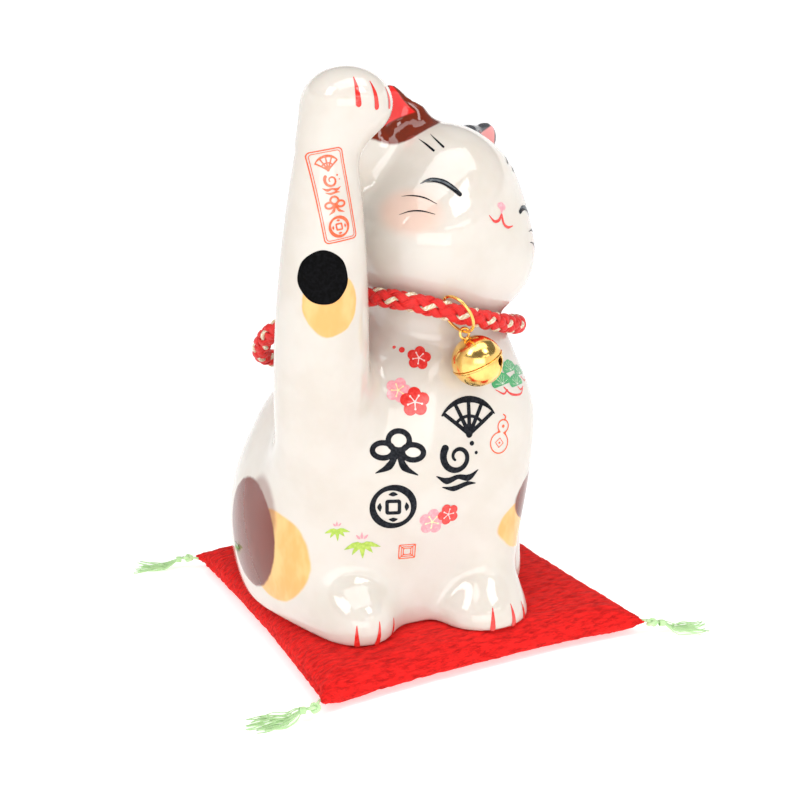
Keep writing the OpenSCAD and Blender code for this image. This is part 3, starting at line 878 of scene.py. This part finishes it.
def yarn_material(name, colour, other, sheen, metal=0.0, rough=0.55, strands=9.0, glitter=False):
    """Fine filaments that run along u, with a soft sheen."""
    paint = Paint(name, Metallic=metal, Sheen_Weight=sheen, Sheen_Roughness=0.4)
    uv = paint.place.outputs["UV"]
    filaments = paint.noise(paint.vec("MULTIPLY", uv, (0.35, strands, 1)), 1.0, 2.0)
    fuzz = paint.noise(paint.mm(), 5.0, 2.0)
    tone = paint.maths("ADD", paint.maths("MULTIPLY", filaments, 0.7), paint.maths("MULTIPLY", fuzz, 0.3))
    tint = paint.mix(paint.range(tone, 0.35, 0.68), other, colour)
    if glitter:
        flecks = paint.range(paint.noise(paint.vec("MULTIPLY", uv, (1.1, 3.0, 1)), 1.3, 1.0), 0.5, 0.58)
        tint = paint.mix(flecks, tint, (0.95, 0.9, 0.8))
    paint.surface(Base_Color=tint, Roughness=paint.range(fuzz, 0.3, 0.7, rough - 0.1, rough + 0.12),
                  Normal=paint.bump(tone, 0.0002, 0.9))
    return paint.material


scarlet = yarn_material("scarlet_silk", (0.93, 0.018, 0.012), (0.58, 0.003, 0.004), 0.05)
lurex = yarn_material("white_gold_lurex", (0.86, 0.74, 0.52), (0.55, 0.38, 0.16), 0.1, 0.25, 0.38, 6.0, True)
whipping = yarn_material("whipping_thread", (0.62, 0.01, 0.012), (0.32, 0.002, 0.004), 0.2)
phases = [k*math.pi/2 for k in range(4)]
red_strands = [strand(1, phase, 1.22, 0.62) for phase in phases[1::2]]
red_strands += [strand(-1, phase, 1.22, 0.62) for phase in phases]
gold_strands = [strand(1, phase, 0.7, 0.6) for phase in phases[::2]]
points, faces, uv = joined(red_strands + [tube(core, 1.35, 12, closed=True)])
add_mesh("collar_red_strands", points, faces, scarlet, "figure", "braid", uv=uv, replaces=["collar_cord"])
points, faces, uv = joined(gold_strands)
add_mesh("collar_gold_strands", points, faces, lurex, "figure", "braid", uv=uv)

WRAPS, WRAP_REACH, WRAP_R = 13, 9, 3.05  # turns of thread, samples each way along the cord, and mm
middle = np.argmin(((core - centre_mm("collar_whipping"))**2).sum(-1))
t = np.linspace(-1, 1, WRAPS*24)
here, side, up = (sampled(middle + t*WRAP_REACH, np.arange(SAMPLES), rows)
                  for rows in (core, core_side, core_up))
a = t*WRAPS*math.pi
points, faces, uv = tube(here + WRAP_R*mixed((np.cos(a), side), (np.sin(a), up)), 0.32, 8)
add_mesh("collar_whipping_thread", points, faces, whipping, "figure", "thread", uv=uv,
         replaces=["collar_whipping"])


# ---- ring and bell ----

def brass_material(name, colour, deep, rough=0.13):
    """Bright plated brass: faint brushing, tiny pits and a slightly duller tone in broad random patches."""
    paint = Paint(name, Metallic=1.0)
    where = paint.mm()
    cloud = paint.noise(where, 0.35, 3.0)
    lines = paint.noise(paint.vec("MULTIPLY", where, (1.2, 1.2, 9.0)), 1.4, 3.0)
    pits = paint.noise(where, 7.0, 2.0)
    paint.surface(Base_Color=paint.mix(paint.range(cloud, 0.35, 0.7), colour, deep),
                  Roughness=paint.range(lines, 0.25, 0.75, rough - 0.04, rough + 0.09),
                  Normal=paint.bump(pits, 0.00001, 0.5, paint.bump(lines, 0.00001, 0.4)))
    return paint.material


gilt = brass_material("gilt_brass", (1.0, 0.68, 0.22), (0.93, 0.56, 0.15))
dull = brass_material("pellet_brass", (0.55, 0.40, 0.20), (0.42, 0.30, 0.15), 0.35)


def basis(z, x):
    w = unit(z)
    v = unit(np.cross(w, x))
    return np.stack([np.cross(v, w), v, w])


yaw, lean = math.radians(194), math.radians(-24)
RING_UP = np.array([-math.sin(lean)*math.cos(yaw), -math.sin(lean)*math.sin(yaw), math.cos(lean)])
RING_SIDE = np.array([-math.sin(yaw), math.cos(yaw), 0])
RING_AT, RING_R, RING_WIRE = centre_mm("jump_ring"), 5.7, 0.45
WIRE_STEPS = 150
a = np.radians(np.linspace(118, 118 + 357.5, WIRE_STEPS))
wire = RING_AT + RING_R*mixed((np.cos(a), RING_SIDE), (np.sin(a), RING_UP))
thickness = np.full(WIRE_STEPS, RING_WIRE)
thickness[[0, -1]] *= 0.86
points, faces, uv = tube(wire, thickness, 16)
add_mesh("jump_ring_wire", points, faces, gilt, "ring", "gilt", uv=uv, replaces=["jump_ring"])

BELL_R, SHEET, SLOT, HOLE_R, HOLE_Z = 7.3, 0.5, 0.5, 1.3, -1.6
BELL = basis((-0.4, 0.14, 0.91), (0.49, -0.82, 0.28))
BELL_AT = RING_AT - RING_R*RING_UP - 9.45*BELL[2]


def out_of_ball(q):
    return np.sqrt((q**2).sum(-1)) - BELL_R


def bell_wall(q):
    return np.abs(out_of_ball(q) + SHEET/2) - SHEET/2


def rounded_and(a, b, k):
    return -blend(-a, -b, k)


def slot_cut(q):
    bar = np.maximum(np.abs(q[..., 1]) - SLOT, q[..., 2] - HOLE_Z)
    hole = np.hypot(q[..., 1], q[..., 2] - HOLE_Z) - HOLE_R
    return np.minimum(bar, hole)


def upper(q):
    return rounded_and(bell_wall(q), 0.03 - q[..., 2], 0.3)


def lower(q):
    """The bowl with its rolled rim, and with a lip pressed up round the slot."""
    x, y, z = q[..., 0], q[..., 1], q[..., 2]
    rim = np.maximum(np.abs(np.hypot(x, y) - BELL_R - 0.02) - 0.2, np.abs(z + 0.26) - 0.22)
    rolled = rounded_and(bell_wall(q), z + 0.03, 0.3)
    lips = rounded_and(np.abs(slot_cut(q) - 0.14) - 0.2, np.abs(out_of_ball(q) + 0.1) - 0.24, 0.2)
    lips = np.maximum(lips, z + 0.35)
    return rounded_and(blend(blend(rolled, rim, 0.25), lips, 0.2), -slot_cut(q), 0.12)


def bell_part(name, shape, low_z, high_z, node):
    points, quads = traced(shape, (-7.83, -7.83, low_z), (7.8, 7.8, high_z), 0.21)
    points = settle(shape, points, 0, 5, 0.02)
    add_mesh(name, BELL_AT + points @ BELL, quads, gilt, "bell", "gilt",
             normals=slope(shape, points, 0.02) @ BELL, replaces=[node])


bell_part("bell_cap", upper, -0.37, 7.7, "bell_upper")
bell_part("bell_bowl", lower, -7.83, 0.4, "bell_lower")
a, face = np.radians(np.arange(0, 360, 6)), math.radians(63)
eye = columns(1.5*np.sin(a)*math.cos(face), 1.5*np.sin(a)*math.sin(face), BELL_R + 1.6 + 1.5*np.cos(a))
foot = columns(0.62*np.cos(a), 0.62*np.sin(a), BELL_R + 0.02)
points, faces, uv = joined([tube(eye, 0.4, 14, closed=True, up=(0.3, -0.2, 0.1)),
                            tube(foot, 0.28, 10, closed=True, up=(0, 0.1, 1))])
add_mesh("bell_eye", BELL_AT + points @ BELL, faces, gilt, "bell", "gilt", uv=uv, replaces=["bell_loop"])
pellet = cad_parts["bell_pellet"]
pellet.data.materials.clear()
pellet.data.materials.append(dull)
pellet.data.shade_smooth()


# ---- the cushion ----

ACROSS, DEEP = 14, 44  # cells of a panel along x and y, before it is made finer
SEAM_Z, TOP_Z = BASE/2, BASE
SWELL = 1.4  # the furthest that the cloth simulation may move a point


def cushion_form(half):
    """A closed pillow of quads, whose two panels share the seam line."""
    even = [np.linspace(-1, 1, cells + 1) for cells in (ACROSS, DEEP)]
    u, v = np.meshgrid(*(np.sign(t)*(1 - (1 - np.abs(t))**1.5) for t in even), indexing="ij")
    rise = (1 - np.abs(u)**12)**0.5*(1 - np.abs(v)**12)**0.5
    x, y = half*u - 1.4*u*(1 - v*v), half*v - 1.4*v*(1 - u*u)
    points = np.concatenate([columns(x, y, SEAM_Z + (TOP_Z - 0.5 - SEAM_Z)*rise).reshape(-1, 3),
                             columns(x, y, SEAM_Z - (SEAM_Z - 0.3)*rise).reshape(-1, 3)])
    top = grid_faces(ACROSS + 1, DEEP + 1, close_cols=False)[:, ::-1]
    n = (ACROSS + 1)*(DEEP + 1)
    edge = ((np.abs(u) > 0.999) | (np.abs(v) > 0.999)).ravel()
    merged = np.where(edge, np.arange(n), np.arange(n) + n)
    faces = np.concatenate([top, merged[top[:, ::-1]]])
    used = np.unique(faces)
    index = np.full(2*n, -1)
    index[used] = np.arange(len(used))
    return points[used], index[faces]


def blank_object(points, faces):
    """A passing object that a modifier works on."""
    mesh = bpy.data.meshes.new("blank")
    mesh.from_pydata(points.tolist(), [], faces.tolist())
    blank = bpy.data.objects.new("blank", mesh)
    bpy.context.scene.collection.objects.link(blank)
    return blank


def inflated(points, faces):
    """The form after a short cloth simulation with air pressure inside."""
    blank = blank_object(points*0.001, faces)
    cloth = blank.modifiers.new("cloth", "CLOTH")
    cloth.settings.use_pressure, cloth.settings.uniform_pressure_force = True, 4
    cloth.settings.effector_weights.gravity = 0
    cloth.settings.quality = 8
    cloth.settings.tension_stiffness = cloth.settings.compression_stiffness = 25
    cloth.point_cache.frame_start, cloth.point_cache.frame_end = 1, 20
    for number in range(1, 21):
        bpy.context.scene.frame_set(number)
    swollen = blank.evaluated_get(bpy.context.evaluated_depsgraph_get()).to_mesh()
    moved = np.array([v.co for v in swollen.vertices])*1000 - points
    bpy.data.objects.remove(blank)
    bpy.context.scene.frame_set(1)
    far = np.linalg.norm(moved, axis=1, keepdims=True)
    return points + moved*np.minimum(1, SWELL/np.maximum(far, 1e-6))


def subdivided(points, faces, levels):
    """The finer mesh's points, normals and quads."""
    blank = blank_object(points, faces)
    blank.modifiers.new("fine", "SUBSURF").levels = levels
    fine = bpy.data.meshes.new_from_object(blank.evaluated_get(bpy.context.evaluated_depsgraph_get()))
    bpy.data.objects.remove(blank)
    places, normals = np.zeros((2, len(fine.vertices)*3))
    quads = np.zeros(len(fine.loops), int)
    fine.vertices.foreach_get("co", places)
    fine.vertices.foreach_get("normal", normals)
    fine.loops.foreach_get("vertex_index", quads)
    return places.reshape(-1, 3), normals.reshape(-1, 3), quads.reshape(-1, 4)


def crepe_relief(x, y, z, side_x, side_y):
    """How far the crimped cloth stands out from a smooth cover. Its folds run on over the sides."""
    u = x + np.sign(x)*side_x*(TOP_Z - z)
    v = y + np.sign(y)*side_y*(TOP_Z - z)
    warp = 1.3*lattice_noise(columns(u/5, v/5), 3)

    def folds(long, wide, seed):
        ridge = np.abs(lattice_noise(columns(u/long + 31, (v + warp)/wide + 17), seed))
        return 2.4*np.minimum(ridge, 0.4) - 0.5

    grain = lattice_noise(columns(u/1.5, v/0.95), 11)
    crepe = 0.5*folds(6.5, 1.3, 5) + 0.3*folds(3.2, 1.0, 6) + 0.4*grain
    slack = lattice_noise(columns(x/21, y/21, z/9), 8)
    corner = np.exp(-((np.abs(x) - HALF)**2 + (np.abs(y) - HALF)**2)/60)
    puckers = np.sin(np.arctan2(np.abs(y) - 40, np.abs(x) - 40)*26)
    return (0.42 + 0.34*side_y)*crepe + 0.35*slack*np.maximum(side_x, side_y) + 0.25*corner*puckers


def near_edge(x, inner, outer):
    """0 up to inner and 1 from outer, both measured inwards from the cushion's edge."""
    return ease(HALF - inner, HALF - outer, np.abs(x))


def cushion_cover():
    """The cover's points and quads: swollen, crimped, and pushed out and drawn in along its edges."""
    form, quads = cushion_form(HALF - 0.35)
    form = inflated(form, quads)
    form[:, 2] = np.clip(form[:, 2], 0.35, TOP_Z - 0.2)
    smooth, normals, quads = subdivided(form, quads, 3)
    x, y, z = smooth.T
    side_x, side_y = near_edge(x, 5, 1), near_edge(y, 5, 1)
    points = smooth + normals*crepe_relief(x, y, z, side_x, side_y)[:, None]
    pulled = 2.0*near_edge(x, 8, 0)*near_edge(y, 8, 0)
    points[:, :2] += np.sign(points[:, :2])*pulled[:, None]

    x, y, z = points.T  # views: what changes them changes points
    seam = np.exp(-((z - 5.1)/0.45)**2)*side_x
    lip = ease(4.9, 3.4, z)*side_x*ease(HALF + 1, HALF - 11, np.abs(y))
    ridge = ease(5.0, 6.0, z)*ease(8.8, 7.4, z)*side_x
    foot_y = ease(5.4, 2.6, z)*near_edge(y, 9, 3)*ease(HALF + 2, HALF - 5, np.abs(x))
    foot_x = ease(3.6, 0.8, z)*near_edge(x, 9, 3)*ease(HALF + 2, HALF - 5, np.abs(y))
    y += np.sign(y)*1.5*foot_y
    uneven = 1.6 + 0.35*lattice_noise(columns(y/7, 0*z), 9)
    x += np.sign(x)*(0.8*foot_x - 1.0*seam + uneven*lip + 0.45*ridge)
    under_cat = cat(columns(x, y, BASE + 1.0))
    z[:] = np.clip(z, 0.0, TOP_Z - 0.03 + 0.5*ease(0.4, 3.0, under_cat))
    return points, quads


def crepe_material():
    """Rayon crepe: fine crimped wrinkles that run across the cushion, in a dull bright red, with painted
    shade: a dark red where the crimp pattern is low.
    """
    paint = Paint("red_crepe", Sheen_Weight=0.12, Sheen_Roughness=0.5, Sheen_Tint=(1.0, 0.3, 0.25),
                  Specular_IOR_Level=0.15)
    where = paint.mm()
    crimp = paint.noise(paint.vec("MULTIPLY", where, (0.3, 0.95, 0.95)), 1.0, 4.0, 0.6)
    yarns = paint.node("TexWave", {"Vector": where, "Scale": 1.9, "Distortion": 3.0, "Detail": 2.0,
                                   "Detail Scale": 2.0}, bands_direction="Y").outputs[1]
    weft = paint.node("TexWave", {"Vector": where, "Scale": 2.3, "Distortion": 2.0, "Detail": 1.0},
                      bands_direction="X").outputs[1]
    weave = paint.maths("MULTIPLY", paint.maths("ADD", yarns, weft), 0.5)
    tone = paint.maths("ADD", paint.maths("MULTIPLY", crimp, 0.7), paint.maths("MULTIPLY", weave, 0.3))
    # painted crease shade: the colour goes to dark red in the low parts of the crimp pattern, mixed with the
    # weave's own yarn tone
    shade = paint.mix(paint.range(tone, 0.34, 0.56), (0.42, 0.002, 0.003), (0.95, 0.016, 0.014))
    paint.surface(Base_Color=shade, Roughness=paint.range(weave, 0, 1, 0.72, 0.88),
                  Normal=paint.bump(weave, 0.0001, 0.7, paint.bump(crimp, 0.0004, 0.9)))
    return paint.material


cushion = add_mesh("cushion_cover", *cushion_cover(), crepe_material(), "cushion", "crepe",
                   replaces=["cushion_top", "cushion_bottom", "cushion_filling"])


# ---- the tassels ----

green_yarn = yarn_material("green_yarn", (0.74, 0.95, 0.58), (0.52, 0.86, 0.38), 0.3, 0.0, 0.75, 5.0)
THREADS, THREAD_R = 19, 0.15


def thread(rng, number, knot_at, ahead, across):
    """A thread from the knot out over the table. Two in three turn there and run part of the way back."""
    fan_out, reach = rng.uniform(-1, 1), rng.uniform(13.5, 18.8)
    loop, rest = rng.uniform(0.7, 1.7)*rng.choice([-1, 1]), rng.uniform(0.3, 1.5)
    out = np.linspace(0, 1, 26)
    back = np.linspace(0, 1, 22)[1:] if number % 3 else np.zeros(0)
    returning = reach*(1 - back*rng.uniform(0.45, 0.9)) + 0.9*np.sin(back*math.pi)*(1 - back)
    d = np.concatenate([reach*out, returning])
    spread = fan_out*(0.35 + 4.3*np.concatenate([out, 1 - 0.5*back])**1.25)
    turned_back = np.concatenate([0*out, loop*np.sin(np.minimum(back*2.6, 1.57))])
    free = np.minimum(d/6, 1)
    side = spread + turned_back + 0.6*np.sin(d*rng.uniform(0.3, 0.8) + rng.uniform(0, 6))*free
    bound = 0.75*np.exp(-((d - 3.2)/1.3)**2)
    drop = ease(2.0, 9.0, d)
    height = knot_at[2]*(1 - drop) + rest*drop + 0.25*np.sin(d*0.5 + number)*free*drop
    path = knot_at*(1, 1, 0) + mixed((d, ahead), (side*(1 - bound), across))
    path[:, 2] = np.maximum(height, 0.3)
    return tube(path, THREAD_R, 6)


def tassel(name, corner, heading, seed):
    """Looped threads that fan out on the table from a knot at the cushion's corner."""
    rng = np.random.default_rng(seed)
    h = math.radians(heading)
    ahead, across, up = np.array([(math.cos(h), math.sin(h), 0), (-math.sin(h), math.cos(h), 0), (0, 0, 1)])
    outwards = np.array([*corner, 0])
    root = HALF*outwards + 4.1*up
    knot_at = root + 1.1*outwards - 0.3*up
    parts = [thread(rng, number, knot_at, ahead, across) for number in range(THREADS)]
    t = np.linspace(0, 2*math.pi, 48, endpoint=False)
    wide = 1.05 + 0.42*np.cos(3*t)
    lump = mixed((wide*np.cos(2*t), ahead), (wide*np.sin(2*t), across), (0.55*np.sin(3*t), up))
    parts.append(tube(knot_at + lump, 0.52, 8, closed=True))
    t = np.linspace(0, 5*2*math.pi, 110)
    binding = mixed((2.5 + 0.33*t/6.28, ahead), (0.95*np.sin(t), across), (0.85*np.cos(t) - 0.35, up))
    parts.append(tube(knot_at + binding, 0.2, 6))
    parts.append(tube([root - 1.6*outwards, root, knot_at], 0.42, 8))
    points, faces, uv = joined(parts)
    points[:, 2] = np.maximum(points[:, 2], 0.02)
    add_mesh(name + "_yarn", points, faces, green_yarn, "cushion", "yarn", uv=uv, replaces=[name])


tassel("tassel_left", (-1, 1), 160, 1)
tassel("tassel_front", (-1, -1), 165, 2)
tassel("tassel_right", (1, -1), -20, 3)
tassel("tassel_back", (1, 1), 45, 4)


# ---- the stage: a bowl of white paper, in metres, and soft lamps ----

def paper_material():
    paint = Paint("white_paper", Roughness=0.75)
    grain = paint.noise(paint.mm(), 0.02, 2.0)
    paint.surface(Base_Color=paint.mix(paint.range(grain, 0.3, 0.7), (0.84, 0.84, 0.84), (0.87, 0.87, 0.87)),
                  Emission_Color=(1.0, 1.0, 1.0), Emission_Strength=0.5)
    return paint.material


FLAT_R, BEND_R, WALL_TOP, SPOKES = 1.4, 0.6, 1.0, 96
bend = np.linspace(0, math.pi/2, 13)
profile = [(0.45, 0), (0.9, 0), *zip(FLAT_R + BEND_R*np.sin(bend), BEND_R - BEND_R*np.cos(bend)),
           (FLAT_R + BEND_R, WALL_TOP)]
turn = np.arange(SPOKES)*2*math.pi/SPOKES
rings = np.concatenate([columns(r*np.cos(turn), r*np.sin(turn), h) for r, h in profile])
floor_mesh = bpy.data.meshes.new("floor")
floor_mesh.from_pydata(rings.tolist() + [(0, 0, 0)], [], grid_faces(len(profile), SPOKES)[:, ::-1].tolist()
                       + [(i, (i + 1) % SPOKES, len(rings)) for i in range(SPOKES)])
floor_mesh.shade_smooth()
floor_mesh.materials.append(paper_material())
floor = bpy.data.objects.new("floor", floor_mesh)
bpy.context.scene.collection.objects.link(floor)

bpy.context.scene.view_settings.view_transform = "Standard"
world = bpy.data.worlds.new("studio")
bpy.context.scene.world = world
world.use_nodes = True
sky = world.node_tree.nodes["Background"]
sky.inputs["Color"].default_value, sky.inputs["Strength"].default_value = (1, 1, 1, 1), 0.2


def softbox(name, azimuth, elevation, distance, width, height, power):
    """A rectangular lamp aimed at the figure. Azimuth 0 is in front, 90 on the figure's left."""
    a, e = math.radians(azimuth), math.radians(elevation)
    lamp = bpy.data.objects.new(name, bpy.data.lights.new(name, "AREA"))
    lamp.data.shape, lamp.data.energy = "RECTANGLE", power
    lamp.data.size, lamp.data.size_y = width, height
    away = Vector((math.sin(a)*math.cos(e), -math.cos(a)*math.cos(e), math.sin(e)))
    lamp.location = Vector((0, 0, 0.09)) + away*distance
    lamp.rotation_euler = (-away).to_track_quat("-Z", "Y").to_euler()
    bpy.context.scene.collection.objects.link(lamp)


softbox("overhead", 8, 77, 0.95, 1.0, 0.44, 3.9)
softbox("left", -72, 47, 0.9, 0.26, 0.4, 1.8)
softbox("front", 24, 50, 0.9, 0.26, 0.28, 1.3)
softbox("band", 14, 30, 1.2, 0.7, 0.1, 0.6)
softbox("fill", -20, 12, 1.3, 1.1, 0.5, 3.5)
